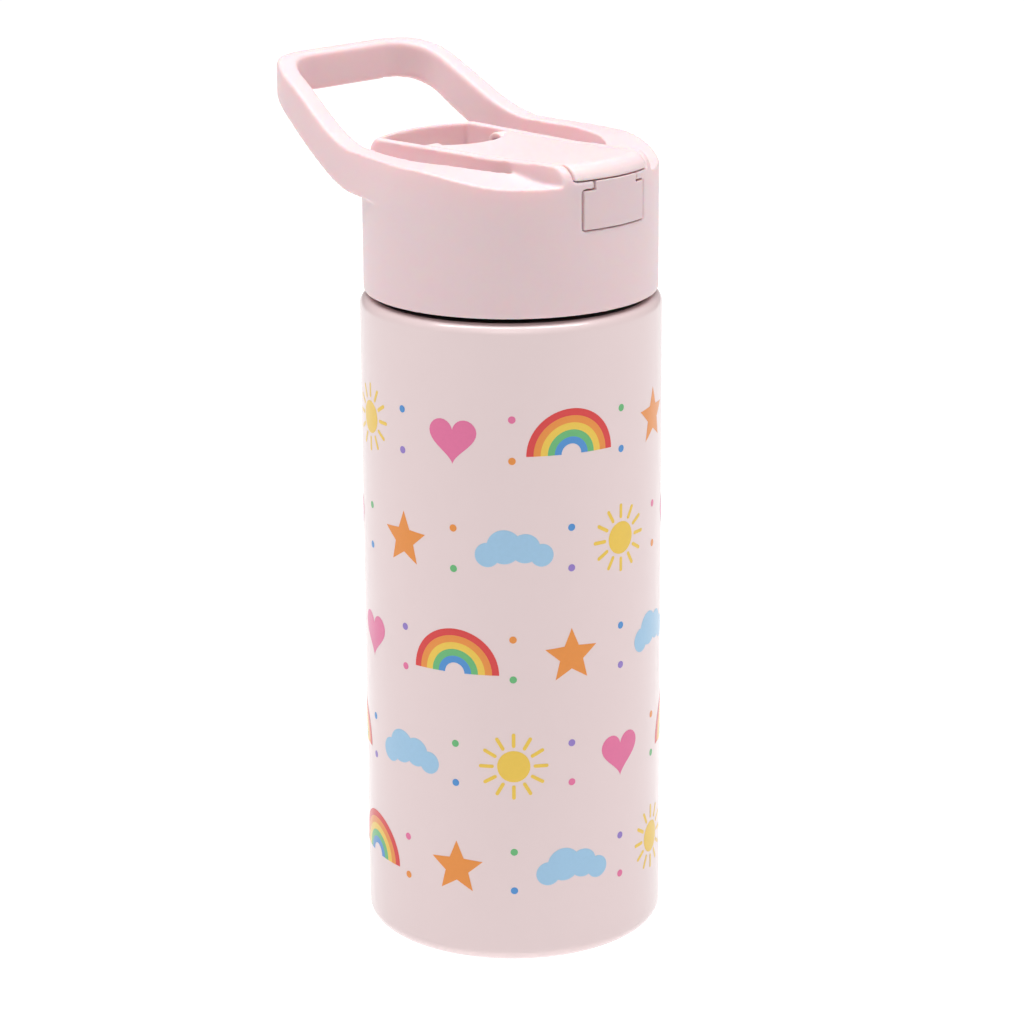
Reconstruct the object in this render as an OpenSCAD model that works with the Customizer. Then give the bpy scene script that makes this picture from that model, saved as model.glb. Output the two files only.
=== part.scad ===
// Insulated kids' water bottle: a double-walled steel flask with a screw lid. The lid's collar and carry
// loop are one moulding, a spring button in its front frees a flip cover, and a soft spout rises under it.
// Origin at the middle of the foot, +Z up, the button faces -Y and the carry loop points to +Y.

/* [Bottle] */
// Outside diameter of the steel body
body_d = 73; // [60:0.5:90]
// Height of the shoulder above the foot
shoulder_h = 159.4; // [120:0.2:230]
// Sheet thickness of the outer shell
shell_wall = 0.6; // [0.4:0.1:1]
// Sheet thickness of the inner flask
flask_wall = 0.6; // [0.4:0.1:1]
// Vacuum gap between shell and flask
vacuum_gap = 3.2; // [2.4:0.1:5]
// Outside radius of the foot corner
foot_round = 3.5; // [2:0.1:5]
// Outside radius of the shoulder corner
shoulder_round = 2.5; // [1.5:0.1:4]
// Width of the shoulder, from the body's side to the neck's side
shoulder_w = 6.5; // [5.5:0.1:8]
// Height of the neck above the shoulder
neck_h = 16.6; // [12:0.2:22]
// How far the neck's thread stands out
thread_h = 1; // [0.6:0.1:1.2]
// Height between the thread's turns
thread_pitch = 4; // [3:0.1:5]

/* [Lid] */
// Open joint between the shoulder and the collar
joint_gap = 1.3; // [0.6:0.1:2]
// How far the collar's side lies inside the body's side
collar_inset = 1; // [0.2:0.1:1.4]
// Height of the room for the mouthpiece, from the housing's floor to its top
cavity_h = 12; // [11.6:0.1:18]
// Thickness of the collar's wall
collar_wall = 2.55; // [2:0.05:3.5]
// Depth of the finger pockets beside the housing
pocket_depth = 7; // [5:0.2:9]
// Thickness of the deck under the finger pockets
deck_t = 2.5; // [1.6:0.1:3]
// Distance from the collar's side to the end of the carry loop
loop_reach = 25.8; // [22:0.1:32]
// Overall width of the carry loop
loop_w = 55.8; // [50:0.2:64]
// Outside corner radius of the carry loop
loop_corner = 15.6; // [12:0.2:20]
// Thickness of the loop's side arms
arm_t = 5.2; // [4:0.1:7]
// Thickness of the loop's end bar
bar_t = 4.5; // [3:0.1:6]
// How high the loop's end stands above the housing's top
loop_rise = 17.3; // [10:0.1:24]
// Height of the loop's band along its arms
band_h = 12; // [8:0.1:13]
// How much lower the band is where it leaves the collar
band_root = 1.5; // [0:0.1:3]
// Height of the loop's band at its end
band_end_h = 8.7; // [6:0.1:11]

/* [Cover and hinge] */
// Width of the flip cover at its front edge
cover_w = 23.4; // [22:0.2:28]
// How much wider the flip cover is at its hinge
cover_flare = 3.4; // [1:0.1:5]
// Thickness of the flip cover
cover_t = 2.2; // [1.6:0.1:2.4]
// Thickness of the housing's side walls
housing_wall = 2.5; // [2:0.1:4]
// Distance of the hinge axis behind the bottle's axis
hinge_y = 14.6; // [12:0.2:17]
// Radius of the hinge ears
ear_r = 2.6; // [2.4:0.1:2.8]
// Radius of the hinge pins
pin_r = 1; // [0.8:0.05:1.2]
// Radius of the finger hollow behind the cover
hollow_r = 15.6; // [14:0.2:17]
// Radius of the lid's front top edge
brow_r = 5; // [4:0.1:6]

/* [Button] */
// Distance from the cover's front corner in to the button's side
button_inset = 1.9; // [1.6:0.1:2.4]
// Width of each shoulder beside the button's upper tab
button_shoulder = 3.2; // [2.4:0.1:4]
// How far the button's lower edge lies below the housing's floor
button_drop = 2.3; // [1.6:0.1:2.4]
// Height of the button up to its shoulders
button_h = 9.2; // [8:0.1:9.6]
// Thickness of the button's face
button_t = 2; // [1.6:0.1:2.4]
// Travel of the button
button_travel = 1.6; // [1:0.1:1.8]

/* [Spout and straw] */
// Length of the mouthpiece from its bend to its tip
spout_len = 22; // [18:0.5:23]
// Radius of the mouthpiece's tube
spout_r = 3.5; // [3:0.1:3.8]
// Radius of the mouthpiece's bore
spout_bore = 1.9; // [1.5:0.1:2.2]
// Outside radius of the straw
straw_r = 3.9; // [3.4:0.1:4.2]
// Wall of the straw
straw_wall = 0.95; // [0.6:0.05:1.2]
// Gap between the straw's end and the flask's floor
straw_gap = 5; // [3:0.5:12]

/* [Fits] */
// Running clearance round a pin
run_clear = 0.05; // [0.02:0.01:0.1]
// Gap round the button and the flip cover
slot_clear = 0.3; // [0.2:0.05:0.4]
// Gap between the neck's thread and the lid insert
thread_clear = 0.2; // [0.1:0.05:0.4]

/* [Hidden] */
$fn = 96;
cut = 1;

// Bottle
body_r = body_d / 2;
neck_r = body_r - shoulder_w;
mouth_z = shoulder_h + neck_h;
flask_r = body_r - shell_wall - vacuum_gap;
liner_gap = 0.8;
liner_r = neck_r - shell_wall - liner_gap;
foot_ring = 2.4;
foot_r = body_r - foot_round - foot_ring;
base_z = 1.2;
base_t = 0.8;
flask_foot_z = base_z + base_t + vacuum_gap;
flask_round = 6;
taper_low_z = shoulder_h - 6;
taper_high_z = shoulder_h - 1;
plug_r = 2;

// Lid levels
lid_r = body_r - collar_inset;
lid_z = shoulder_h + joint_gap;
bore_r = lid_r - collar_wall;
rim_z = mouth_z + flask_wall;
gasket_t = 1.8;
plate_z = rim_z + gasket_t;
plate_t = 2.2;
slab_gap = 0.4;
slab_z = plate_z + plate_t + slab_gap;
slab_t = 2;
floor_z = slab_z + slab_t;
lid_top = floor_z + cavity_h;
brow_rise = 1.1;
brow_z = lid_top + brow_rise;
deck_z = lid_top - pocket_depth;
front_drop = 3.8;
ring_w = 6.7;
hole_y = 8;

// Button
front_y = -lid_r;
button_w = cover_w - 2 * button_inset;
tab_w = button_w - 2 * button_shoulder;
button_z = floor_z - button_drop;
button_back_y = front_y + button_t;
wall_front_y = front_y + 3.4;

// Cover, hinge and latch
cover_drop = 0.1;
cover_top = lid_top - cover_drop;
cover_under = cover_top - cover_t;
hinge_z = cover_top - ear_r;
hollow_y = hinge_y + 9.2;
ear_w = 3.9;
pin_depth = 1.7;
pin_room = 0.6;
lip_z = brow_z - brow_r + 1.2;
bar_y = wall_front_y + 5.4;
bar_d = 1.8;
bar_z = floor_z + 3;
bar_h = 3;
hook_w = 3;
hook_x = button_w / 2 - 2.9;
hook_y = wall_front_y + 1.4;
hook_d = 1.8;
latch_bite = 1;

// Button spring and cover spring
stop_y = bar_y - 0.5;
wire_r = 0.22;
coil_gap = 0.33;
spring_r = pin_r + coil_gap + wire_r;
peg_r = 0.9;
button_spring_z = floor_z + 1.9;

// Spout
spout_z = floor_z + 4.6;
knuckle_r = 4.2;
socket_clear = 0.3;
seat_r = 4.9;
seat_flange_r = 7.2;
seat_flange_t = 0.8;
socket_r = 4.4;
socket_drop = 2;
spigot_r = straw_r - straw_wall - run_clear;
vent_x = 9.4;
vent_y = 3.6;
vent_r = 1.5;

function smooth(a, b, v) = let (u = min(1, max(0, (v - a) / (b - a)))) u * u * (3 - 2 * u);

function arc(centre, r, a0, a1, steps = 8) =
    [for (i = [0:steps]) let (a = a0 + (a1 - a0) * i / steps) centre + r * [cos(a), sin(a)]];

// Top and underside of the ring and the loop, seen from the side
function ring_z(y) = lid_top - front_drop + (front_drop - 0.5) * smooth(8.2 - lid_r, 32.2 - lid_r, y)
    + min(1, max(0, (y + 4) / 30)) + (loop_rise - 0.5) * smooth(lid_r - 15, lid_r + loop_reach - 1, y);
function under_z(y) = ring_z(y) - band_h + (band_h - band_end_h) * smooth(30, 60, y)
    + band_root * (1 - smooth(32, 46, y));

// Half width of the flip cover at a place along Y
function cover_half(y) = cover_w / 2 + cover_flare / 2 * (y - front_y) / (hinge_y - front_y);

module ring_of(r_out, r_in, z0, z1) {
    rotate_extrude()
        translate([r_in, z0])
            square([r_out - r_in, z1 - z0]);
}

// A plan like a rounded kite: a front circle and two corner circles joined by straight sides
module kite(front_r, front_y0, corner_r, corner_x, corner_y, z0, z1) {
    span = norm([corner_x, corner_y - front_y0]);
    turn = atan2(corner_y - front_y0, corner_x) - acos((front_r - corner_r) / span);
    side = [cos(turn), sin(turn)];
    inside = 0.05;
    p = [0, front_y0] + (front_r - inside) * side;
    q = [corner_x, corner_y] + (corner_r - inside) * side;
    end_y = corner_y + corner_r - inside;
    translate([0, front_y0, z0]) cylinder(r = front_r, h = z1 - z0);
    for (s = [-1, 1])
        translate([s * corner_x, corner_y, z0]) cylinder(r = corner_r, h = z1 - z0);
    translate([0, 0, z0])
        linear_extrude(z1 - z0)
            polygon([p, q, [corner_x, end_y], [-corner_x, end_y], [-q.x, q.y], [-p.x, p.y]]);
}

// A tapered prism in line with the flip cover's sides, grown by a margin
module along_cover(margin, y0, y1, z0, z1) {
    translate([0, 0, z0])
        linear_extrude(z1 - z0)
            polygon([
                [cover_half(y0) + margin, y0], [cover_half(y1) + margin, y1],
                [-cover_half(y1) - margin, y1], [-cover_half(y0) - margin, y0]
            ]);
}

// The lid's outside as a turned shape with a rounded top edge, made smaller by an inset
module dome(inset, z0) {
    r = lid_r - inset;
    rotate_extrude()
        polygon(concat(
            [[0, z0], [r, z0]],
            arc([lid_r - brow_r, brow_z - brow_r], brow_r - inset, 0, 90),
            [[0, brow_z - inset]]
        ));
}

// Side outline of the housing's and the cover's top, made lower by a drop
module under_roof(drop, z0) {
    rise_y = -8;
    brow_back_y = front_y + 7;
    brow_low = brow_z - 0.2;
    rotate([90, 0, 90])
        translate([0, 0, -lid_r])
            linear_extrude(2 * lid_r)
                polygon([
                    [front_y - cut, z0], [lid_r + cut, z0], [lid_r + cut, lid_top - drop],
                    [rise_y, lid_top - drop], [brow_back_y, brow_low - drop], [front_y - cut, brow_low - drop]
                ]);
}

// Side outline that the ring and the loop are cut from
module side_slice(low) {
    y0 = -lid_r - cut;
    y1 = lid_r + loop_reach + cut;
    steps = 64;
    ys = [for (i = [0:steps]) y0 + (y1 - y0) * i / steps];
    rotate([90, 0, 90])
        translate([0, 0, -lid_r - cut])
            linear_extrude(2 * lid_r + 2 * cut)
                polygon(concat(
                    [for (y = ys) [y, ring_z(y)]],
                    [for (i = [steps:-1:0]) [ys[i], low ? lid_z - cut : under_z(ys[i])]]
                ));
}

// A coil spring along +Z with its first end at the origin
module coil(r, wire, turns, height) {
    per_turn = 20;
    sides = 8;
    rings = turns * per_turn;
    points = [
        for (i = [0:rings]) for (k = [0:sides - 1])
            let (a = 360 * i / per_turn, b = 360 * k / sides, d = r + wire * cos(b))
            [d * cos(a), d * sin(a), wire + (height - 2 * wire) * i / rings + wire * sin(b)]
    ];
    skin = [
        for (i = [0:rings - 1]) for (k = [0:sides - 1])
            let (m = (k + 1) % sides, p = i * sides, q = p + sides)
            [p + m, q + m, q + k, p + k]
    ];
    ends = [[for (k = [sides - 1:-1:0]) k], [for (k = [0:sides - 1]) rings * sides + k]];
    polyhedron(points, concat(skin, ends), convexity = 6);
}

// Steel vessel

module outer_shell() {
    thread_z = shoulder_h + 2.6;
    color([0.93, 0.85, 0.85])
        rotate_extrude()
            polygon(concat(
                [[foot_r, 0]],
                arc([body_r - foot_round, foot_round], foot_round, -90, 0),
                arc([body_r - shoulder_round, shoulder_h - shoulder_round], shoulder_round, 0, 90),
                [[neck_r, shoulder_h]],
                [for (n = [1:2]) for (p = [[0, -1.2], [thread_h, -0.4], [thread_h, 0.4], [0, 1.2]])
                    [neck_r + p.x, thread_z + n * thread_pitch + p.y]],
                [[neck_r, mouth_z], [neck_r - shell_wall, mouth_z],
                 [neck_r - shell_wall, shoulder_h - shell_wall]],
                arc([body_r - shoulder_round, shoulder_h - shoulder_round],
                    shoulder_round - shell_wall, 90, 0),
                arc([body_r - foot_round, foot_round], foot_round - shell_wall, 0, -90),
                [[foot_r, shell_wall]]
            ));
}

module base_disc() {
    color("silver")
        difference() {
            union() {
                ring_of(foot_r, foot_r - base_t, 0, base_z + base_t);
                translate([0, 0, base_z]) cylinder(r = foot_r, h = base_t);
            }
            translate([0, 0, -cut]) cylinder(r = plug_r, h = base_z + base_t + 2 * cut);
        }
}

module base_pad() {
    color([0.9, 0.78, 0.78])
        cylinder(r = foot_r - base_t - slot_clear, h = base_z);
}

module vacuum_plug() {
    head = 0.6;
    color("dimgray")
        union() {
            translate([0, 0, base_z]) cylinder(r = plug_r, h = base_t);
            translate([0, 0, base_z + base_t]) cylinder(r1 = plug_r + head, r2 = plug_r, h = head);
        }
}

module getter() {
    getter_r = 9;
    getter_w = 3.5;
    getter_t = 1.8;
    color("gray")
        ring_of(getter_r, getter_r - getter_w, base_z + base_t, base_z + base_t + getter_t);
}

module inner_flask() {
    color("silver")
        rotate_extrude()
            polygon(concat(
                [[0, flask_foot_z]],
                arc([flask_r - flask_round, flask_foot_z + flask_round], flask_round, -90, 0),
                [[flask_r, taper_low_z], [liner_r, taper_high_z], [liner_r, mouth_z],
                 [neck_r, mouth_z], [neck_r, rim_z], [liner_r - flask_wall, rim_z],
                 [liner_r - flask_wall, taper_high_z - flask_wall / 2],
                 [flask_r - flask_wall, taper_low_z - flask_wall / 2]],
                arc([flask_r - flask_round, flask_foot_z + flask_round], flask_round - flask_wall, 0, -90),
                [[0, flask_foot_z + flask_wall]]
            ));
}

// Lid

module loop_outline(z0, z1) {
    corner_x = loop_w / 2 - loop_corner;
    kite(lid_r, 0, loop_corner, corner_x, lid_r + loop_reach - loop_corner, z0, z1);
}

module loop_hole(z0, z1) {
    corner_x = loop_w / 2 - loop_corner;
    corner_y = lid_r + loop_reach - loop_corner + arm_t - bar_t;
    kite(lid_r - ring_w, hole_y, loop_corner - arm_t, corner_x, corner_y, z0, z1);
}

module housing_block() {
    intersection() {
        dome(0, slab_z);
        under_roof(0, slab_z);
        along_cover(slot_clear + housing_wall, front_y - cut, lid_r + cut, slab_z, brow_z + cut);
    }
}

module channel() {
    rear_r = lid_r - housing_wall;
    difference() {
        intersection() {
            along_cover(slot_clear, wall_front_y, lid_r, floor_z, brow_z + cut);
            union() {
                translate([0, 0, floor_z]) cylinder(r = rear_r, h = brow_z + cut - floor_z);
                translate([-rear_r, front_y, floor_z]) cube([2 * rear_r, lid_r, brow_z + cut - floor_z]);
            }
        }
        spring_stop();
    }
    // Opening for the cover's rounded front
    along_cover(slot_clear, front_y - cut, wall_front_y + cut, lip_z - slot_clear, brow_z + cut);
}

module spring_stop() {
    stop_w = 4.4;
    stop_d = 1.6;
    stop_peg = 1.4;
    translate([-stop_w / 2, stop_y, floor_z]) cube([stop_w, stop_d, bar_z - floor_z - slot_clear]);
    translate([0, stop_y + cut / 2, button_spring_z])
        rotate([90, 0, 0]) cylinder(r = peg_r, h = stop_peg + cut / 2);
}

module button_slot(margin, depth) {
    low = button_z - margin;
    translate([-button_w / 2 - margin, front_y - cut, low])
        cube([button_w + 2 * margin, depth + cut, button_h + 2 * margin]);
    translate([-tab_w / 2 - margin, front_y - cut, low])
        cube([tab_w + 2 * margin, depth + cut, lip_z - slot_clear - low]);
}

module lid_shell() {
    color([0.96, 0.84, 0.84])
        difference() {
            union() {
                // Collar, open below the deck
                ring_of(lid_r, bore_r, lid_z, deck_z);
                ring_of(bore_r + cut / 2, 0, deck_z - deck_t, deck_z);
                // Ring round the deck and the carry loop behind it
                difference() {
                    union() {
                        intersection() {
                            translate([0, 0, deck_z - cut / 2])
                                cylinder(r = lid_r, h = brow_z - deck_z + 2 * cut + loop_rise);
                            side_slice(true);
                        }
                        intersection() {
                            loop_outline(lid_z, lid_top + loop_rise + 2 * cut);
                            side_slice(false);
                        }
                    }
                    loop_hole(deck_z, lid_top + loop_rise + 3 * cut);
                    difference() {
                        loop_hole(lid_z - cut, deck_z + cut);
                        translate([0, 0, lid_z - 2 * cut]) cylinder(r = lid_r, h = deck_z - lid_z + 4 * cut);
                    }
                    translate([0, 0, lid_z - cut]) cylinder(r = bore_r, h = deck_z - deck_t - lid_z + cut);
                }
                housing_block();
            }
            channel();
            button_slot(slot_clear, wall_front_y - front_y + cut / 2);
            // Room behind the button's lower edge when it is pushed in
            translate([-button_w / 2 - slot_clear, front_y, button_z - slot_clear])
                cube([
                    button_w + 2 * slot_clear, button_t + button_travel + 2, button_drop + slot_clear + cut / 2
                ]);
            // Blind holes for the hinge pins
            for (s = [-1, 1])
                translate([s * (cover_half(hinge_y) - cut), hinge_y, hinge_z])
                    rotate([0, s * 90, 0]) cylinder(r = pin_r, h = cut + slot_clear + pin_depth);
            // Holes for the spout seat, its gasket and the vent valve
            translate([0, 0, slab_z - cut]) cylinder(r = seat_r, h = slab_t + 2 * cut);
            translate([0, 0, floor_z - seat_flange_t])
                cylinder(r = seat_flange_r + 0.1, h = seat_flange_t + cut);
            translate([vent_x, vent_y, slab_z - cut]) cylinder(r = vent_r, h = slab_t + 2 * cut);
        }
}

module lid_insert() {
    inner_r = neck_r + thread_h + thread_clear;
    skirt_z = lid_z + 1.5;
    color([0.95, 0.95, 0.93])
        difference() {
            union() {
                ring_of(bore_r, inner_r, skirt_z, plate_z + cut / 2);
                translate([0, 0, plate_z]) cylinder(r = bore_r, h = plate_t);
            }
            translate([0, 0, plate_z - cut]) cylinder(r = socket_r, h = plate_t + 2 * cut);
            translate([vent_x, vent_y, plate_z - cut]) cylinder(r = vent_r, h = plate_t + 2 * cut);
        }
}

module mouth_gasket() {
    lip = 0.6;
    color("white")
        ring_of(neck_r + thread_h, liner_r - flask_wall - lip, rim_z, plate_z);
}

module spout_seat() {
    cup_wall = 1.2;
    cup_h = 3.4;
    cup_front_y = 0.6;
    foot_z = slab_z - slab_gap / 2;
    color([0.95, 0.95, 0.93])
        difference() {
            union() {
                translate([0, 0, foot_z]) cylinder(r = seat_r, h = floor_z + slab_gap / 2 - foot_z);
                translate([0, 0, floor_z]) cylinder(r = seat_flange_r, h = seat_flange_t);
                // Half cup behind the spout's knuckle
                intersection() {
                    translate([0, 0, floor_z]) cylinder(r = knuckle_r + socket_clear + cup_wall, h = cup_h);
                    translate([-seat_flange_r, cup_front_y, floor_z])
                        cube([2 * seat_flange_r, seat_flange_r, cup_h]);
                }
            }
            translate([0, 0, spout_z]) sphere(r = knuckle_r + socket_clear);
            translate([0, 0, slab_z - cut]) cylinder(r = spout_bore, h = slab_t + 2 * cut);
        }
}

module spout_gasket() {
    color("white")
        ring_of(seat_flange_r, seat_r, floor_z - seat_flange_t, floor_z);
}

module straw_socket() {
    spigot_len = 8;
    low = plate_z - socket_drop - spigot_len;
    high = slab_z - slab_gap / 2;
    color([0.95, 0.95, 0.93])
        difference() {
            union() {
                translate([0, 0, plate_z - socket_drop]) cylinder(r = socket_r, h = plate_t + socket_drop);
                translate([0, 0, plate_z + plate_t]) cylinder(r = socket_r + 2, h = high - plate_z - plate_t);
                translate([0, 0, low]) cylinder(r = spigot_r, h = spigot_len + cut);
            }
            translate([0, 0, low - cut]) cylinder(r = spout_bore, h = high - low + 2 * cut);
        }
}

module straw() {
    straw_foot = flask_foot_z + flask_wall + straw_gap;
    color([0.97, 0.9, 0.9])
        ring_of(straw_r, straw_r - straw_wall, straw_foot, plate_z - socket_drop);
}

module vent_valve() {
    head_t = 0.9;
    beak_h = 2.8;
    stem_z = plate_z - 0.4;
    color("white")
        translate([vent_x, vent_y, 0]) {
            translate([0, 0, floor_z]) cylinder(r1 = vent_r + 1, r2 = vent_r + 0.6, h = head_t);
            translate([0, 0, stem_z]) cylinder(r = vent_r, h = floor_z - stem_z);
            translate([0, 0, stem_z - beak_h]) cylinder(r1 = 0.5, r2 = vent_r, h = beak_h);
        }
}

module cover_pins() {
    color("silver")
        for (s = [-1, 1])
            translate([s * (cover_half(hinge_y) - ear_w - pin_room), hinge_y, hinge_z])
                rotate([0, s * 90, 0]) cylinder(r = pin_r, h = ear_w + pin_room + slot_clear + pin_depth);
}

module cover_spring() {
    turns = 3;
    coil_len = 2.6;
    coil_x = cover_half(hinge_y) - ear_w - 0.85;
    color("gainsboro")
        union() {
            translate([-coil_x, hinge_y, hinge_z]) rotate([0, -90, 0]) coil(spring_r, wire_r, turns, coil_len);
            // Leg that stands on the housing's floor
            translate([-coil_x - wire_r, hinge_y, floor_z])
                cylinder(r = 0.9 * wire_r, h = hinge_z - spring_r + wire_r / 2 - floor_z, $fn = 8);
        }
}

module flip_cover() {
    hook_t = 2.1;
    hook_low = bar_z - slot_clear - hook_t;
    spring_room = 2.3;
    color([0.97, 0.86, 0.86])
        difference() {
            union() {
                difference() {
                    intersection() {
                        dome(0, lip_z);
                        under_roof(cover_drop, lip_z);
                        along_cover(0, front_y - cut, hinge_y, lip_z, brow_z + cut);
                    }
                    // Hollow underside
                    intersection() {
                        dome(cover_t, lip_z - cut);
                        under_roof(cover_drop + cover_t, lip_z - cut);
                    }
                    translate([0, hollow_y, lip_z - cut]) cylinder(r = hollow_r, h = 3 * brow_r);
                }
                // Ears round the hinge pins
                for (s = [-1, 1])
                    translate([s * cover_half(hinge_y), hinge_y, hinge_z])
                        rotate([0, -s * 90, 0]) cylinder(r = ear_r, h = ear_w);
                // Hooks that the button's bar holds down
                for (s = [-1, 1])
                    translate([s * hook_x - hook_w / 2, hook_y, hook_low]) {
                        cube([hook_w, hook_d, cover_top - 0.5 - hook_low]);
                        cube([hook_w, bar_y - hook_y + latch_bite, hook_t]);
                    }
            }
            for (s = [-1, 1])
                translate([s * (cover_half(hinge_y) + cut), hinge_y, hinge_z])
                    rotate([0, -s * 90, 0]) cylinder(r = pin_r + run_clear, h = ear_w + 2 * cut);
            // Room for the coil spring in one ear
            translate([ear_w + cut - cover_half(hinge_y), hinge_y, hinge_z])
                rotate([0, -90, 0]) cylinder(r = spring_r + wire_r + slot_clear / 2, h = cut + spring_room);
        }
}

module bite_pad() {
    pad = [10, 12, 0.7];
    color("white")
        translate([-pad.x / 2, 3 - spout_len, cover_under - pad.z]) cube(pad);
}

module latch_button() {
    arm_x = 3.6;
    arm_w = 1.6;
    arm_y = button_back_y - 0.6;
    peg_len = 2.6;
    stem = [1, 1.8, 4];
    stem_x = button_w / 2 - 0.6;
    // The catches reach beyond the slot, behind the collar's wall
    catch_size = [2.6, 1, 4];
    catch_x = cover_half(wall_front_y) - 1.5;
    catch_z = floor_z + 0.4;
    bar_w = button_w - 1.2;
    color([0.95, 0.83, 0.83])
        union() {
            // Face with its upper tab
            intersection() {
                ring_of(lid_r, lid_r - button_t, button_z - cut, lip_z);
                button_slot(0, 6);
            }
            // Arms and the bar that holds the cover's hooks
            for (s = [-1, 1])
                translate([s * arm_x - arm_w / 2, arm_y, bar_z])
                    cube([arm_w, bar_y - arm_y + bar_d / 2, bar_h]);
            translate([-bar_w / 2, bar_y, bar_z]) cube([bar_w, bar_d, bar_h]);
            // Catches that keep the button from falling out, and their stems
            for (s = [-1, 1]) {
                translate([s * catch_x - catch_size.x / 2, wall_front_y + 0.15, catch_z]) cube(catch_size);
                translate([s * stem_x - stem.x / 2, wall_front_y - 1.2, catch_z]) cube(stem);
            }
            // Peg inside the spring
            translate([0, arm_y, button_spring_z])
                rotate([-90, 0, 0]) cylinder(r = peg_r, h = peg_len);
        }
}

module button_spring() {
    turns = 4;
    play = 0.02;
    color("gainsboro")
        translate([0, button_back_y + play, button_spring_z])
            rotate([-90, 0, 0]) coil(spring_r, wire_r, turns, stop_y - button_back_y - 2 * play);
}

module mouthpiece() {
    neck_len = 5;
    neck_waist = 0.3;
    tip_r = spout_r + 0.5;
    tip_round = 1.2;
    tip_len = 4.5;
    color([0.98, 0.93, 0.93])
        translate([0, 0, spout_z])
            rotate([90, 0, 0])
                rotate_extrude()
                    polygon(concat(
                        [[spout_bore, -sqrt(pow(knuckle_r, 2) - pow(spout_bore, 2))]],
                        arc([0, 0], knuckle_r, -60, 35),
                        [[spout_r - neck_waist, neck_len], [spout_r, neck_len + 2],
                         [spout_r, spout_len - tip_len]],
                        arc([tip_r - tip_round, spout_len - tip_round], tip_round, 0, 90),
                        [[spout_bore, spout_len]]
                    ));
}

outer_shell();
base_disc();
base_pad();
vacuum_plug();
getter();
inner_flask();
lid_shell();
lid_insert();
mouth_gasket();
spout_seat();
spout_gasket();
straw_socket();
straw();
vent_valve();
cover_pins();
cover_spring();
flip_cover();
bite_pad();
latch_button();
button_spring();
mouthpiece();
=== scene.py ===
# %% [markdown]
# # An insulated kids' water bottle with a flip-cover lid
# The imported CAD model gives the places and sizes, and this script gives the looks. Everything is in metres
# and in the CAD's own frame: +Z up, the button faces -Y and the carry loop points to +Y.

# %% Load the frame
import math

import bmesh
import bpy
from mathutils import Matrix, Vector
from mathutils.geometry import delaunay_2d_cdt


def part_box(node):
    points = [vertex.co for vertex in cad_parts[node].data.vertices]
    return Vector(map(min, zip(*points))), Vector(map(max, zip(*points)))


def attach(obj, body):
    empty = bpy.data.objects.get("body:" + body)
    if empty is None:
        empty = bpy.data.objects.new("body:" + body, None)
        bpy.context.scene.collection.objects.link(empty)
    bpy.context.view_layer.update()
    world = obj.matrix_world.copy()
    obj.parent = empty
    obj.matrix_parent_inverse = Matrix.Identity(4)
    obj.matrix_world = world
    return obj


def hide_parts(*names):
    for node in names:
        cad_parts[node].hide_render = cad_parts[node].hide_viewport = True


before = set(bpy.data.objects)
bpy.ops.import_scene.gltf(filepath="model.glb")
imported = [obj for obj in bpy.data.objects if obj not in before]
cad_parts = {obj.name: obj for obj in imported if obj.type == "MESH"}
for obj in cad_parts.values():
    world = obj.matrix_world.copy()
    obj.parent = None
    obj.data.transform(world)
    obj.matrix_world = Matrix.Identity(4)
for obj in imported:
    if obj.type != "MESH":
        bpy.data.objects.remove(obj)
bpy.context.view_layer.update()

MM = 0.001

# %% [markdown]
# ## Measures taken from the frame
# Each number below comes from the box of a CAD node, so a piece goes where the CAD says.

# %% Measures
_, shell_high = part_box("outer_shell")
lid_low, lid_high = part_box("lid_shell")
_, disc_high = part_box("base_disc")
body_r = shell_high.x
collar_r = lid_high.x
neck_top = shell_high.z
print("body radius", round(body_r, 4), "collar radius", round(collar_r, 4), "neck top", round(neck_top, 4))

# %% [markdown]
# ## The studio
# The bottle stands on a seamless pale floor in soft light. A broad softbox overhead gives nearly all of it. The
# fill in front is weak, and the panels beside and behind the bottle are weaker still. A long lens far away keeps
# the body's sides nearly parallel.

# %% Camera
CAMERA_AZIMUTH = -0.782  # radians round the Z axis from -Y


def look_down(azimuth, pitch, roll, distance, height, lens):
    """A camera that stands at an azimuth round the Z axis and looks at that axis, tilted down."""
    away = Vector((math.sin(azimuth), -math.cos(azimuth), 0))
    ahead = -away * math.cos(pitch) - Vector((0, 0, math.sin(pitch)))
    right = Vector((math.cos(azimuth), math.sin(azimuth), 0))
    up = right.cross(ahead)
    side = right * math.cos(roll) + up * math.sin(roll)
    top = up * math.cos(roll) - right * math.sin(roll)
    data = bpy.data.cameras.new("photo_camera")
    data.lens = lens
    data.shift_y = -0.05
    data.clip_start = 0.05
    camera = bpy.data.objects.new("photo_camera", data)
    bpy.context.scene.collection.objects.link(camera)
    turn = Matrix((side, top, -ahead)).transposed().to_4x4()
    camera.matrix_world = Matrix.Translation(away * distance + Vector((0, 0, height))) @ turn
    bpy.context.scene.camera = camera
    return camera


camera = look_down(
    azimuth=CAMERA_AZIMUTH, pitch=0.2766, roll=-0.0058, distance=0.8106, height=0.3469, lens=121.2,
)
print("camera at", [round(v, 3) for v in camera.location])

# %% [markdown]
# ## Finishes
# A finish is a node material. `Wire` wraps a socket so that sums are written as Python sums, and `Finish.node`
# makes any other node.

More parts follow.
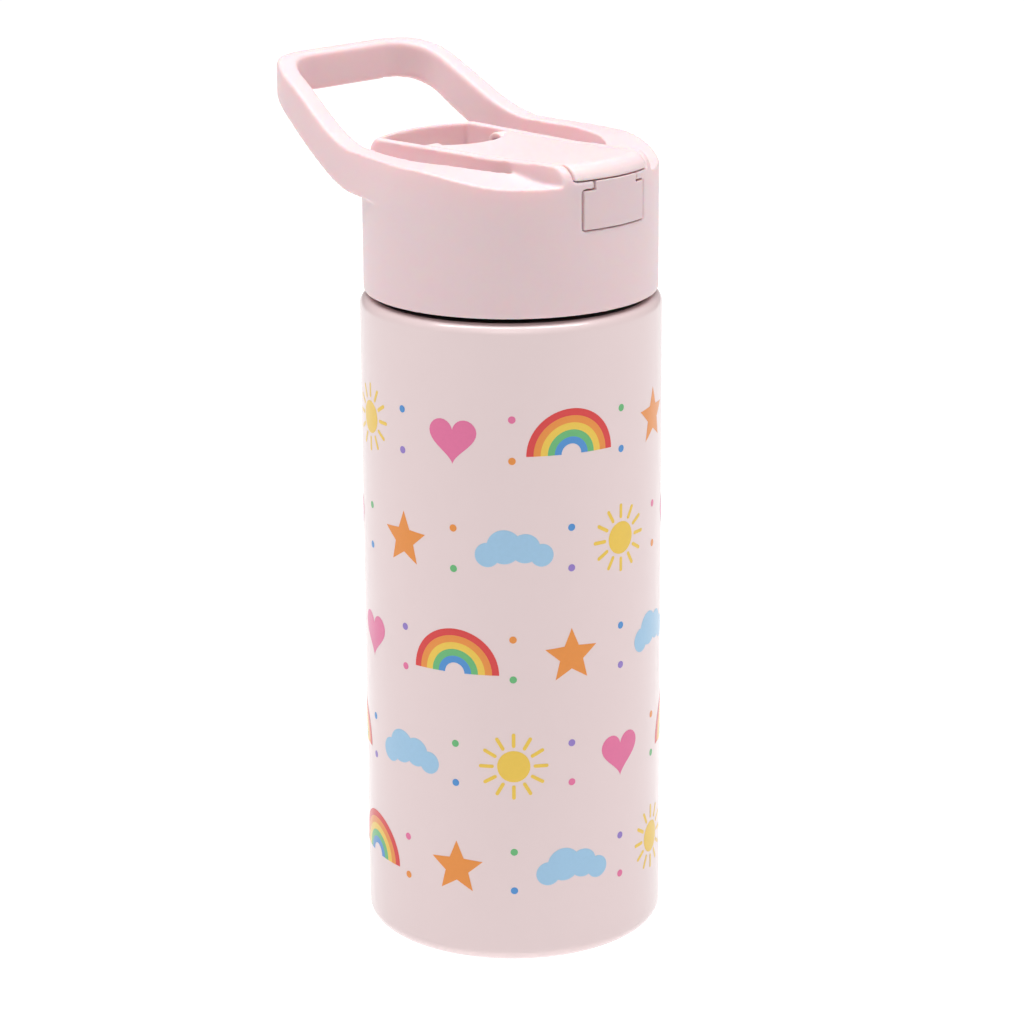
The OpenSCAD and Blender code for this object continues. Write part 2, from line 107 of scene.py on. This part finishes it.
# %% Shader helpers
class Wire:
    """A socket of a finish. The signs + - * add Math nodes."""

    def __init__(self, finish, socket):
        self.finish, self.socket = finish, socket

    def math(self, operation, other=0.0, turned=False):
        pair = {0: other, 1: self} if turned else {0: self, 1: other}
        return self.finish.node("ShaderNodeMath", {"operation": operation}, pair)

    def __add__(self, other):
        return self.math("ADD", other)

    def __radd__(self, other):
        return self.math("ADD", other, True)

    def __sub__(self, other):
        return self.math("SUBTRACT", other)

    def __rsub__(self, other):
        return self.math("SUBTRACT", other, True)

    def __mul__(self, other):
        return self.math("MULTIPLY", other)

    def __rmul__(self, other):
        return self.math("MULTIPLY", other, True)

    def clamp(self, low=0.0, high=1.0):
        return self.math("MAXIMUM", low).math("MINIMUM", high)


class Finish:
    """A material with one Principled shader."""

    def __init__(self, name, **fixed):
        self.material = bpy.data.materials.new(name)
        self.material.use_nodes = True
        self.tree = self.material.node_tree
        self.shader = next(n for n in self.tree.nodes if n.type == "BSDF_PRINCIPLED")
        for socket, value in fixed.items():
            self.shader.inputs[socket.replace("_", " ")].default_value = value

    def node(self, kind, settings=None, sockets=None, out=0):
        made = self.tree.nodes.new(kind)
        for key, value in (settings or {}).items():
            setattr(made, key, value)
        for key, value in (sockets or {}).items():
            if isinstance(value, Wire):
                self.tree.links.new(value.socket, made.inputs[key])
            else:
                made.inputs[key].default_value = value
        return Wire(self, made.outputs[out])

    def place(self, scale=(1, 1, 1)):
        """Object coordinates, stretched by a scale for each axis."""
        spot = self.node("ShaderNodeTexCoord", out="Object")
        return self.node("ShaderNodeMapping", sockets={"Vector": spot, "Scale": scale})

    def noise(self, size, scale=(1, 1, 1), detail=3.0, rough=0.5):
        """Noise with lumps of about the given size in metres, from 0 to 1."""
        sockets = {"Vector": self.place(scale), "Scale": 1 / size, "Detail": detail, "Roughness": rough}
        return self.node("ShaderNodeTexNoise", sockets=sockets)

    def mix(self, factor, first, second):
        """A colour between two colours."""
        sockets = {0: factor, 6: first, 7: second}
        return self.node("ShaderNodeMix", {"data_type": "RGBA"}, sockets, out=2)

    def bump(self, height, strength, depth):
        sockets = {"Height": height, "Strength": strength, "Distance": depth}
        return self.node("ShaderNodeBump", sockets=sockets)

    def set(self, **wires):
        for socket, wire in wires.items():
            self.tree.links.new(wire.socket, self.shader.inputs[socket.replace("_", " ")])
        return self.material


def rgb(red, green, blue, alpha=1.0):
    """A screen colour from 0 to 255, as the linear colour that a shader takes."""
    def linear(v):
        v /= 255
        return v / 12.92 if v <= 0.04045 else ((v + 0.055) / 1.055) ** 2.4
    return (linear(red), linear(green), linear(blue), alpha)


# %% Moulded plastic
def moulded(name, colour, rough=0.34):
    """Satin moulded plastic: a fine spark texture, a faint cloudiness, and a slightly milky depth."""
    finish = Finish(name, Subsurface_Weight=0.4, Subsurface_Scale=0.005, Specular_IOR_Level=0.22, IOR=1.49)
    cloud = finish.noise(0.03, detail=2.0)
    grain = finish.noise(0.0004, detail=2.0)
    deep = tuple(0.955 * v for v in colour[:3]) + (1.0,)
    return finish.set(
        Base_Color=finish.mix(cloud, deep, colour),
        Roughness=rough + 0.07 * (cloud - 0.5) + 0.03 * (grain - 0.5),
        Normal=finish.bump(grain, 0.10, 0.00005),
    )


# %% Painted and bare steel
def powder_coat(name, colour, bare_inside):
    """Glossy powder coat with a slight orange peel. Inside a radius the neck is bare, turned steel, coloured
    darker than the other steels as painted shade for the gap under the lid.
    """
    finish = Finish(name, Coat_Roughness=0.03, Coat_IOR=1.5, Specular_IOR_Level=0.15, IOR=1.5)
    peel = finish.noise(0.0016, detail=1.0)
    cloud = finish.noise(0.05, detail=2.0)
    turned = finish.noise(0.0006, scale=(0.02, 0.02, 1), detail=2.0)
    flat = finish.node("ShaderNodeMapping", sockets={"Vector": finish.place(), "Scale": (1, 1, 0)})
    reach = finish.node("ShaderNodeVectorMath", {"operation": "LENGTH"}, {0: flat}, out="Value")
    coated = ((reach - bare_inside) * 5000).clamp()
    deep = tuple(0.975 * v for v in colour[:3]) + (1.0,)
    paint = finish.mix(cloud, deep, colour)
    # painted shade: this bare neck steel is darker than the other steels, so that the gap under the lid collar
    # reads dark
    steel = finish.mix(turned, rgb(120, 118, 118), rgb(160, 158, 158))
    return finish.set(
        Base_Color=finish.mix(coated, steel, paint),
        Metallic=1 - coated,
        Coat_Weight=0.6 * coated,
        Roughness=0.31 + 0.05 * (cloud - 0.5) + 0.1 * turned * (1 - coated),
        Normal=finish.bump(peel, 0.12, 0.00006),
    )


def drawn_steel(name, colour, rough=0.3, along=(1, 1, 0.02)):
    """Bare steel with fine drawing lines along one axis."""
    finish = Finish(name, Metallic=1.0)
    lines = finish.noise(0.0006, scale=along, detail=3.0)
    stain = finish.noise(0.02, detail=3.0)
    dark = tuple(0.8 * v for v in colour[:3]) + (1.0,)
    return finish.set(
        Base_Color=finish.mix(stain, dark, colour),
        Roughness=rough + 0.18 * (lines - 0.5) + 0.08 * (stain - 0.5),
        Normal=finish.bump(lines, 0.15, 0.00005),
    )


# %% Silicone
def silicone(name, colour, rough=0.5):
    """Soft silicone: dusty, slightly see-into, with a fine matt skin."""
    finish = Finish(name, Subsurface_Weight=0.3, Subsurface_Scale=0.004, IOR=1.41)
    dust = finish.noise(0.0007, detail=3.0)
    cloud = finish.noise(0.012, detail=2.0)
    deep = tuple(0.93 * v for v in colour[:3]) + (1.0,)
    return finish.set(
        Base_Color=finish.mix(cloud, deep, colour),
        Roughness=rough + 0.14 * (dust - 0.5),
        Normal=finish.bump(dust, 0.12, 0.00006),
    )


pink_plastic = moulded("pink_plastic", rgb(236, 209, 212))
cover_plastic = moulded("cover_plastic", rgb(238, 212, 214))
button_plastic = moulded("button_plastic", rgb(233, 205, 208))
white_plastic = moulded("white_plastic", rgb(236, 234, 230), 0.42)
straw_plastic = moulded("straw_plastic", rgb(240, 222, 222), 0.3)
pink_coat = powder_coat("pink_coat", rgb(235, 214, 214), bare_inside=33.4 * MM)
flask_steel = drawn_steel("flask_steel", rgb(205, 205, 206))
disc_steel = drawn_steel("disc_steel", rgb(200, 200, 202), along=(1, 0.03, 1))
pin_steel = drawn_steel("pin_steel", rgb(196, 196, 198), 0.22, along=(0.05, 1, 1))
wire_steel = drawn_steel("wire_steel", rgb(180, 180, 183), 0.2)
solder_metal = drawn_steel("solder_metal", rgb(120, 120, 122), 0.5, along=(1, 1, 1))
getter_metal = drawn_steel("getter_metal", rgb(88, 88, 90), 0.6, along=(1, 1, 1))
gasket_silicone = silicone("gasket_silicone", rgb(238, 236, 232))
spout_silicone = silicone("spout_silicone", rgb(244, 226, 226))
foot_silicone = silicone("foot_silicone", rgb(226, 200, 200), 0.6)
print(len(bpy.data.materials), "finishes")


# %% Give the CAD nodes their finishes
def give(material, *nodes):
    for name in nodes:
        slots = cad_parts[name].data.materials
        slots.clear()
        slots.append(material)


give(flask_steel, "inner_flask")
give(disc_steel, "base_disc")
give(foot_silicone, "base_pad")
give(solder_metal, "vacuum_plug")
give(getter_metal, "getter")
give(white_plastic, "lid_insert", "spout_seat", "straw_socket")
give(gasket_silicone, "mouth_gasket", "spout_gasket", "vent_valve", "bite_pad")
give(straw_plastic, "straw")
give(pin_steel, "cover_pins")
give(wire_steel, "cover_spring", "button_spring")

# %% [markdown]
# ## Modelling helpers
# An operator acts on all that is selected, so each step first clears the selection. Faces and edges are then
# picked in code, by their place or their normal, as a hand would pick them in edit mode.

# %% Selecting and adding
def only(thing):
    """Selects one object and nothing else."""
    bpy.ops.object.select_all(action="DESELECT")
    thing.select_set(True)
    bpy.context.view_layer.objects.active = thing
    return thing


def added(name, operator, **settings):
    """Adds a primitive with an operator and names it."""
    bpy.ops.object.select_all(action="DESELECT")
    operator(**settings)
    thing = bpy.context.object
    thing.name = thing.data.name = name
    return thing


def pick(thing, kind, test):
    """Goes into edit mode with only those edges or faces selected whose place and normal pass a test."""
    only(thing)
    bpy.ops.object.mode_set(mode="EDIT")
    bpy.ops.mesh.select_mode(type="EDGE" if kind == "edges" else "FACE")
    bpy.ops.mesh.select_all(action="DESELECT")
    mesh = bmesh.from_edit_mesh(thing.data)
    mesh.normal_update()
    chosen = 0
    for item in getattr(mesh, kind):
        if kind == "edges":
            middle, facing = (item.verts[0].co + item.verts[1].co) / 2, item.verts[0].normal
        else:
            middle, facing = item.calc_center_median(), item.normal
        if test(middle, facing):
            item.select_set(True)
            chosen += 1
    bmesh.update_edit_mesh(thing.data)
    return chosen


def leave_edit():
    bpy.ops.object.mode_set(mode="OBJECT")


def apply_modifier(thing, kind, **settings):
    only(thing)
    modifier = thing.modifiers.new(kind.lower(), kind)
    for key, value in settings.items():
        setattr(modifier, key, value)
    bpy.ops.object.modifier_apply(modifier=modifier.name)


def settle(thing):
    """Puts the object's place, turn and size into its mesh."""
    only(thing)
    bpy.ops.object.transform_apply(location=True, rotation=True, scale=True)
    return thing


def facing_out(thing, doubles=1e-7):
    """Merges doubles and turns every face outwards."""
    only(thing)
    bpy.ops.object.mode_set(mode="EDIT")
    bpy.ops.mesh.select_all(action="SELECT")
    bpy.ops.mesh.remove_doubles(threshold=doubles)
    bpy.ops.mesh.normals_make_consistent(inside=False)
    leave_edit()


def done(piece, material, body, slot, *nodes):
    """Gives a piece its finish and its body, and hides the CAD nodes that it stands for. The slot is not used."""
    piece.data.materials.clear()
    piece.data.materials.append(material)
    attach(piece, body)
    if nodes:
        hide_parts(*nodes)
    triangles = sum(len(face.vertices) - 2 for face in piece.data.polygons)
    print(f"{piece.name}: {triangles} triangles on {body}")
    return piece


# %% [markdown]
# ## The steel shell
# The real shell is a tube of thin sheet, spun in at the shoulder and at the foot, with a rolled thread on its
# neck. Here it is drawn the same way from one cylinder: the top face is inset and pulled up as the neck, the
# bottom face is inset and opened, the corners are bevelled and the sheet gets its thickness inwards. The thread
# is a small section swept up the neck by a Screw modifier, because a real thread climbs.

# %% Shell from a cylinder
SHEET = 0.6 * MM
neck_r = body_r - 6.5 * MM
foot_opening = disc_high.x
shoulder_z = lid_low.z - 1.3 * MM

shell = added(
    "shell_spun", bpy.ops.mesh.primitive_cylinder_add,
    vertices=160, radius=body_r, depth=shoulder_z, location=(0, 0, shoulder_z / 2),
)
settle(shell)
pick(shell, "faces", lambda at, out: out.z > 0.9)
bpy.ops.mesh.inset(thickness=body_r - neck_r)
bpy.ops.mesh.extrude_region_move(TRANSFORM_OT_translate={"value": (0, 0, neck_top - shoulder_z)})
bpy.ops.mesh.delete(type="FACE")
leave_edit()
pick(shell, "faces", lambda at, out: out.z < -0.9)
bpy.ops.mesh.inset(thickness=body_r - foot_opening)
bpy.ops.mesh.delete(type="FACE")
leave_edit()


def ring_edges(radius, height):
    """A test for the edges of one ring round the Z axis."""
    return lambda at, out: abs(at.xy.length - radius) < 0.1 * MM and abs(at.z - height) < 0.1 * MM


for radius, height, corner, steps in (
    (body_r, shoulder_z, 2.5 * MM, 8), (body_r, 0.0, 3.5 * MM, 8), (neck_r, shoulder_z, 0.9 * MM, 4),
):
    count = pick(shell, "edges", ring_edges(radius, height))
    bpy.ops.mesh.bevel(offset=corner, segments=steps, profile=0.5)
    leave_edit()
    print("bevelled", count, "edges at", round(height, 4))
apply_modifier(shell, "SOLIDIFY", thickness=SHEET, offset=-1.0)

# %% Thread on the neck
THREAD_LIFT = 5.6 * MM  # from the shoulder to the start of the thread
THREAD_CLIMB = 7 * MM
THREAD_FADE = 0.4  # radians at each end
thread_angle = math.tau * 1.75
thread = added(
    "thread", bpy.ops.mesh.primitive_plane_add,
    size=2 * MM, location=(neck_r + 0.2 * MM, 0, shoulder_z + THREAD_LIFT), rotation=(math.pi / 2, 0, 0),
)
settle(thread)
for vertex in thread.data.vertices:
    if vertex.co.x > neck_r + 0.2 * MM:
        vertex.co.x = neck_r + 0.95 * MM
        vertex.co.z += math.copysign(0.6 * MM, shoulder_z + THREAD_LIFT - vertex.co.z)
apply_modifier(
    thread, "SCREW", axis="Z", angle=thread_angle, screw_offset=THREAD_CLIMB,
    steps=168, render_steps=168, use_merge_vertices=False,
)
climb = THREAD_CLIMB / thread_angle
for vertex in thread.data.vertices:
    around = math.atan2(vertex.co.y, vertex.co.x) % math.tau
    turned = around + math.tau * round(((vertex.co.z - shoulder_z - THREAD_LIFT) / climb - around) / math.tau)
    fade = min(1.0, max(0.0, turned / THREAD_FADE), max(0.0, (thread_angle - turned) / THREAD_FADE))
    depth = vertex.co.xy.length - neck_r
    vertex.co.xy = vertex.co.xy.normalized() * (neck_r + (depth * fade if depth > 0 else depth))
pick(thread, "faces", lambda at, out: True)
bpy.ops.mesh.select_all(action="DESELECT")
bpy.ops.mesh.select_mode(type="EDGE")
bpy.ops.mesh.select_non_manifold()
bpy.ops.mesh.edge_face_add()
leave_edit()
facing_out(thread)
only(shell)
thread.select_set(True)
bpy.ops.object.join()
only(shell)
bpy.ops.object.shade_smooth_by_angle(angle=math.radians(35))
done(shell, pink_coat, "bottle", "painted_steel", "outer_shell")

# %% [markdown]
# ## The mouthpiece
# The spout is a silicone straw on a ball: the ball is the valve, and it turns in its seat. It is drawn as a
# short tube that grows ring by ring from the ball to the flared lip, and turns back into the bore.

# %% Mouthpiece, ring by ring
def grown(name, centre, rings, sides=64):
    """Grows a closed shape along -Y from a filled circle, by one extrude and one resize for each ring.

    A ring is (distance along -Y from the centre, radius). The last ring closes the shape.
    """
    first = rings[0]
    thing = added(
        name, bpy.ops.mesh.primitive_circle_add, vertices=sides, radius=first[1], fill_type="NGON",
        location=centre - Vector((0, first[0], 0)), rotation=(math.pi / 2, 0, 0),
    )
    settle(thing)
    bpy.ops.object.mode_set(mode="EDIT")
    bpy.ops.mesh.select_mode(type="FACE")
    bpy.ops.mesh.select_all(action="SELECT")
    for before, after in zip(rings, rings[1:]):
        bpy.ops.mesh.extrude_region_move(TRANSFORM_OT_translate={"value": (0, before[0] - after[0], 0)})
        bpy.ops.transform.resize(
            value=(after[1] / before[1],) * 3, center_override=centre - Vector((0, after[0], 0)),
        )
    leave_edit()
    facing_out(thing)
    return thing


spout_low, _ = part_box("mouthpiece")
tip = -spout_low.y
ball_r = 4.2 * MM
pivot = Vector((0, 0, 187.6 * MM))
ball_turns = [math.radians(v) for v in (27, 40, 55, 70, 85, 100, 115, 128)]
ball = [(-ball_r * math.cos(t), ball_r * math.sin(t)) for t in ball_turns]
lip = 1.2 * MM
lip_turns = [math.radians(v) for v in (0, 22, 45, 68, 90)]
flare = [(tip - lip + lip * math.sin(t), 4 * MM - lip + lip * math.cos(t)) for t in lip_turns]
rings = ball + [
    (5.0 * MM, 3.15 * MM), (7.0 * MM, 3.4 * MM), (10 * MM, 3.5 * MM), (15 * MM, 3.5 * MM), (17.5 * MM, 3.52 * MM),
    (19.2 * MM, 3.75 * MM),
] + flare + [(tip - 0.1 * MM, 2.1 * MM), (tip - 1 * MM, 1.9 * MM), (6 * MM, 1.9 * MM), (-3.5 * MM, 1.9 * MM)]
spout = grown("spout_silicone_piece", pivot, rings)
only(spout)
bpy.ops.object.shade_smooth_by_angle(angle=math.radians(40))
done(spout, spout_silicone, "spout", "spout_silicone", "mouthpiece")

# %% [markdown]
# ## The lid's mouldings
# The collar, the carry loop and the housing are one moulding, and a real mould has no sharp edge: all of them
# are rounded. Bevelling such a shape edge by edge fails where many edges meet. So a copy of the CAD shape is
# remeshed into small even squares, smoothed until the edges have their radius, and thinned again where it is
# plain. The flip cover and the button get the same treatment with a finer mesh and a smaller radius.

# %% Mould radii
def copy_of_node(node, piece_name):
    """A merged copy of a CAD node, to be given its mould radii."""
    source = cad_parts[node]
    piece = bpy.data.objects.new(piece_name, source.data.copy())
    piece.data.name = piece_name
    bpy.context.scene.collection.objects.link(piece)
    facing_out(piece, 1e-6)
    return piece


def soften(piece, voxel, rounds, triangles, extra=None):
    """Rounds all edges of a piece, by a remesh, a smoothing and a thinning.

    extra is (rounds, weight of a place, push), for parts of the piece that have larger radii. The push makes up
    for the width that the smoothing takes.
    """
    apply_modifier(piece, "REMESH", mode="VOXEL", voxel_size=voxel, adaptivity=0.0)
    apply_modifier(piece, "SMOOTH", factor=0.5, iterations=rounds)
    if extra:
        group = piece.vertex_groups.new(name="larger_radii")
        for vertex in piece.data.vertices:
            weight = extra[1](vertex.co)
            if weight > 0.01:
                group.add([vertex.index], weight, "REPLACE")
        apply_modifier(piece, "SMOOTH", factor=0.5, iterations=extra[0], vertex_group="larger_radii")
        apply_modifier(piece, "DISPLACE", strength=extra[2], mid_level=0.0, vertex_group="larger_radii")
    count = len(piece.data.polygons) * 2
    if count > triangles:
        apply_modifier(piece, "DECIMATE", decimate_type="COLLAPSE", ratio=triangles / count)
    only(piece)
    bpy.ops.object.shade_smooth()
    return piece


def on_loop(place):
    """1 on the carry loop and on the ring's outer edge, 0 on the collar and the housing."""
    behind = min(1.0, max(0.0, (place.y - 20 * MM) / (14 * MM)))
    above = min(1.0, max(0.0, (place.z - 180 * MM) / (4 * MM)))
    outer = min(1.0, max(0.0, (place.xy.length - 31.5 * MM) / (2 * MM)))
    return behind * above * outer


lid = soften(copy_of_node("lid_shell", "lid_moulding"), 0.4 * MM, 7, 180000, (24, on_loop, 0.25 * MM))
done(lid, pink_plastic, "lid", "pink_shell", "lid_shell")
cover = soften(copy_of_node("flip_cover", "cover_moulding"), 0.22 * MM, 5, 80000)
done(cover, cover_plastic, "cover", "pink_cover", "flip_cover")
button = soften(copy_of_node("latch_button", "button_moulding"), 0.14 * MM, 4, 60000)
done(button, button_plastic, "button", "pink_button", "latch_button")

# %% [markdown]
# ## The printed pattern
# The real body carries a transfer print under its clear gloss. The print here is a plain stock pattern and follows
# no picture: bows, suns, stars, hearts and clouds on a regular grid, in a plain paint-box palette. It is laid out
# flat in millimetres, with x round the body and y up it. Each ink becomes one film: its outlines are united, cut
# into upright strips, wrapped on the body and given the thickness of a coat of ink. A film has a clean edge at any
# distance, which a texture has not.

# %% Flat outlines
WRAP_RADIUS = 36.5  # millimetres, the body's own


def stroke(x0, y0, x1, y1, half):
    """The outline of a straight stroke with round ends."""
    dx, dy = x1 - x0, y1 - y0
    size = math.hypot(dx, dy)
    left = [(x - dy / size * half, y + dx / size * half) for x, y in ((x0, y0), (x1, y1))]
    right = [(x + dy / size * half, y - dx / size * half) for x, y in ((x0, y0), (x1, y1))]

    def cap(x, y, first):
        start = math.atan2(first[1] - y, first[0] - x)
        turns = [start - math.pi * k / 6 for k in range(1, 6)]
        return [(x + half * math.cos(t), y + half * math.sin(t)) for t in turns]
    return left + cap(x1, y1, left[-1]) + right[::-1] + cap(x0, y0, right[0])


def disc(x, y, r, sides=32):
    turns = [math.tau * i / sides for i in range(sides)]
    return [(x + r * math.cos(t), y + r * math.sin(t)) for t in turns]


def star(x, y, r, points, waist, turn):
    """A star with a point every other step."""
    return [
        (x + (r if i % 2 == 0 else waist * r) * math.cos(turn + math.pi * i / points),
         y + (r if i % 2 == 0 else waist * r) * math.sin(turn + math.pi * i / points))
        for i in range(2 * points)
    ]


def arch(x, y, outer, inner):
    """Half a ring between two radii."""
    turns = [math.pi * i / 40 for i in range(41)]
    points = [(outer * math.cos(t), outer * math.sin(t)) for t in turns]
    points += [(inner * math.cos(t), inner * math.sin(t)) for t in turns[::-1]]
    return [(x + u, y + v) for u, v in points]


inks = {}


def paint(ink, outline):
    """Keeps an outline for an ink."""
    inks.setdefault(ink, []).append(outline)


# %% Plain motifs
def bow(x, y):
    """Five bands of equal width."""
    for k, ink in enumerate(("red", "orange", "yellow", "green", "blue")):
        paint(ink, arch(x, y - 4, 11 - 1.7 * k, 11 - 1.7 * (k + 1)))


def sun(x, y):
    """A disc with twelve equal rays."""
    paint("yellow", disc(x, y, 4))
    for k in range(12):
        c, s = math.cos(math.tau * k / 12), math.sin(math.tau * k / 12)
        paint("yellow", stroke(x + 5.2 * c, y + 5.2 * s, x + 8 * c, y + 8 * s, 0.45))


def big_star(x, y):
    paint("orange", star(x, y, 7, 5, 0.45, math.pi / 2))


def heart(x, y):
    """The usual heart curve."""
    turns = [math.tau * k / 48 for k in range(48)]
    paint("pink", [
        (x + 6 * math.sin(t) ** 3,
         y + 0.375 * (13 * math.cos(t) - 5 * math.cos(2 * t) - 2 * math.cos(3 * t) - math.cos(4 * t)))
        for t in turns
    ])


def cloud(x, y):
    """Four discs in a row, united by the triangulation."""
    for off, lift, size in ((-6, -1, 3), (-2, 1, 4.2), (3, 0.6, 3.6), (7, -1.2, 2.8)):
        paint("sky", disc(x + off, y + lift, size))


# %% The grid
COLUMNS, ROWS = 4, 5
ROW_STEP, FIRST_ROW = 27.0, 24.0  # millimetres
MOTIFS = (bow, big_star, cloud, sun, heart)
DOT_INKS = ("blue", "pink", "green", "violet", "orange")
column_step = math.pi * WRAP_RADIUS / COLUMNS
for row in range(ROWS):
    for column in range(COLUMNS):
        x = (column - 1.5 + 0.5 * (row % 2)) * column_step
        y = FIRST_ROW + row * ROW_STEP
        MOTIFS[(column + 2 * row) % len(MOTIFS)](x, y)
        for side in (-1, 1):
            ink = DOT_INKS[(column + row + side) % len(DOT_INKS)]
            paint(ink, disc(x + 0.5 * column_step, y + 5 * side, 0.9, 16))
print(len(inks), "inks", sum(len(outlines) for outlines in inks.values()), "outlines")

# %% [markdown]
# ## From outlines to ink
# The outlines of one ink are united by a constrained triangulation, which also copes with outlines that overlap.
# Upright cuts let the flat film follow the round body.

# %% Wrap the films
FRONT = -28.55  # millimetres round the body to the camera's side, where the flat x is 0
HALF_TURN = math.pi * WRAP_RADIUS
STRIP = 1.2  # millimetres between two upright cuts
film_r = body_r + 0.012 * MM
INK_COLOURS = {
    "red": (225, 70, 70), "orange": (240, 150, 70), "yellow": (245, 205, 85), "green": (110, 190, 125),
    "blue": (85, 150, 215), "violet": (155, 130, 205), "pink": (235, 120, 165), "sky": (165, 205, 235),
}


def united(outlines):
    """Points and faces of the union of closed outlines."""
    points, loops = [], []
    for outline in outlines:
        area = sum(a[0] * b[1] - b[0] * a[1] for a, b in zip(outline, outline[1:] + outline[:1]))
        loops.append(list(range(len(points), len(points) + len(outline))))
        points += [Vector(p) for p in (outline if area > 0 else outline[::-1])]
    points, _, faces, _, _, origins = delaunay_2d_cdt(points, [], loops, 1, 1e-5)
    return points, [face for face, origin in zip(faces, origins) if origin]


def film(ink, outlines):
    """One piece from the outlines of an ink, wrapped twice round the body."""
    flat = bmesh.new()
    points, faces = united(outlines)
    corners = [flat.verts.new((p.x, p.y, 0)) for p in points]
    for face in faces:
        flat.faces.new([corners[i] for i in face])
    bmesh.ops.delete(flat, geom=[v for v in flat.verts if not v.link_faces], context="VERTS")
    left = min(v.co.x for v in flat.verts)
    right = max(v.co.x for v in flat.verts)
    cut = left + STRIP
    while cut < right:
        bmesh.ops.bisect_plane(
            flat, geom=flat.verts[:] + flat.edges[:] + flat.faces[:],
            plane_co=(cut, 0, 0), plane_no=(1, 0, 0),
        )
        cut += STRIP
    mesh = bpy.data.meshes.new("print_" + ink)
    flat.normal_update()
    flat.to_mesh(mesh)
    flat.free()
    piece = bpy.data.objects.new("print_" + ink, mesh)
    bpy.context.scene.collection.objects.link(piece)
    other = mesh.copy()
    for target, shift in ((mesh, 0.0), (other, HALF_TURN)):
        for vertex in target.vertices:
            angle = (vertex.co.x + shift + FRONT) / WRAP_RADIUS
            vertex.co = (film_r * math.sin(angle), -film_r * math.cos(angle), vertex.co.y * MM)
    copy = bpy.data.objects.new("print_far", other)
    bpy.context.scene.collection.objects.link(copy)
    only(piece)
    copy.select_set(True)
    bpy.ops.object.join()
    return piece


def outward(piece):
    """Turns faces away from the Z axis, and gives the film its thickness outwards."""
    mesh = bmesh.new()
    mesh.from_mesh(piece.data)
    mesh.normal_update()
    wrong = [f for f in mesh.faces if f.normal.xy.dot(f.calc_center_median().xy) < 0]
    bmesh.ops.reverse_faces(mesh, faces=wrong)
    mesh.to_mesh(piece.data)
    mesh.free()
    apply_modifier(piece, "SOLIDIFY", thickness=0.02 * MM, offset=1.0, use_even_offset=False)
    only(piece)
    bpy.ops.object.shade_smooth_by_angle(angle=math.radians(30))


def ink_finish(ink):
    """Screen-printed ink under the clear gloss: even colour with a faint mottle."""
    finish = Finish("ink_" + ink, Coat_Weight=0.5, Coat_Roughness=0.03, Specular_IOR_Level=0.05)
    mottle = finish.noise(0.0009, detail=3.0)
    cloud = finish.noise(0.012, detail=2.0)
    colour = rgb(*INK_COLOURS[ink])
    deep = tuple(0.90 * v for v in colour[:3]) + (1.0,)
    return finish.set(
        Base_Color=finish.mix(0.6 * mottle + 0.4 * cloud, deep, colour),
        Roughness=0.32 + 0.08 * (mottle - 0.5),
    )


for ink, outlines in inks.items():
    piece = film(ink, outlines)
    outward(piece)
    done(piece, ink_finish(ink), "bottle", "painted_steel")

# %% [markdown]
# ## Floor and lights
# Both are stage: they belong to the picture and not to the bottle.

# %% Stage
floor_finish = Finish("floor_paper", IOR=1.3, Emission_Color=(1, 1, 1, 1), Emission_Strength=0.92)
floor_tooth = floor_finish.noise(0.004, detail=2.0)
floor_grey = floor_finish.mix(floor_tooth, rgb(156, 156, 156), rgb(160, 160, 160))
floor_finish.set(
    Base_Color=floor_grey,
    Roughness=0.8 + 0.1 * floor_tooth,
)
floor = added("floor", bpy.ops.mesh.primitive_plane_add, size=12, location=(0, 0, -0.2 * MM))
floor.data.materials.append(floor_finish.material)


def softbox(name, place, size, power, aim=(0, 0, 0.1)):
    """A rectangular area light that faces a point and isn't seen itself."""
    data = bpy.data.lights.new(name, "AREA")
    data.shape, data.size, data.size_y, data.energy = "RECTANGLE", size[0], size[1], power
    lamp = bpy.data.objects.new(name, data)
    bpy.context.scene.collection.objects.link(lamp)
    lamp.location = place
    lamp.rotation_euler = (Vector(aim) - Vector(place)).to_track_quat("-Z", "Y").to_euler()
    lamp.visible_camera = False
    return lamp


def round_about(degrees, distance, height):
    """A place round the bottle, in degrees from the camera's side."""
    angle = CAMERA_AZIMUTH + math.radians(degrees)
    return (math.sin(angle) * distance, -math.cos(angle) * distance, height)


softbox("top_box", round_about(0, 0.08, 1.4), (1.7, 0.4), 27)
softbox("front_box", round_about(0, 1.6, 1.2), (0.9, 0.5), 2.7)
softbox("left_rim", round_about(-155, 1.2, 0.4), (0.4, 1.2), 0.2)
softbox("right_rim", round_about(155, 1.2, 0.4), (0.4, 1.2), 0.1)
softbox("left_strip", round_about(-60, 1.1, 0.7), (0.16, 0.9), 0.2)
softbox("right_strip", round_about(60, 1.1, 0.7), (0.16, 0.9), 0.15)

world = bpy.data.worlds.new("studio")
world.use_nodes = True
world.node_tree.nodes["Background"].inputs["Color"].default_value = (1, 1, 1, 1)
world.node_tree.nodes["Background"].inputs["Strength"].default_value = 0.13
bpy.context.scene.world = world
bpy.context.scene.view_settings.view_transform = "Standard"
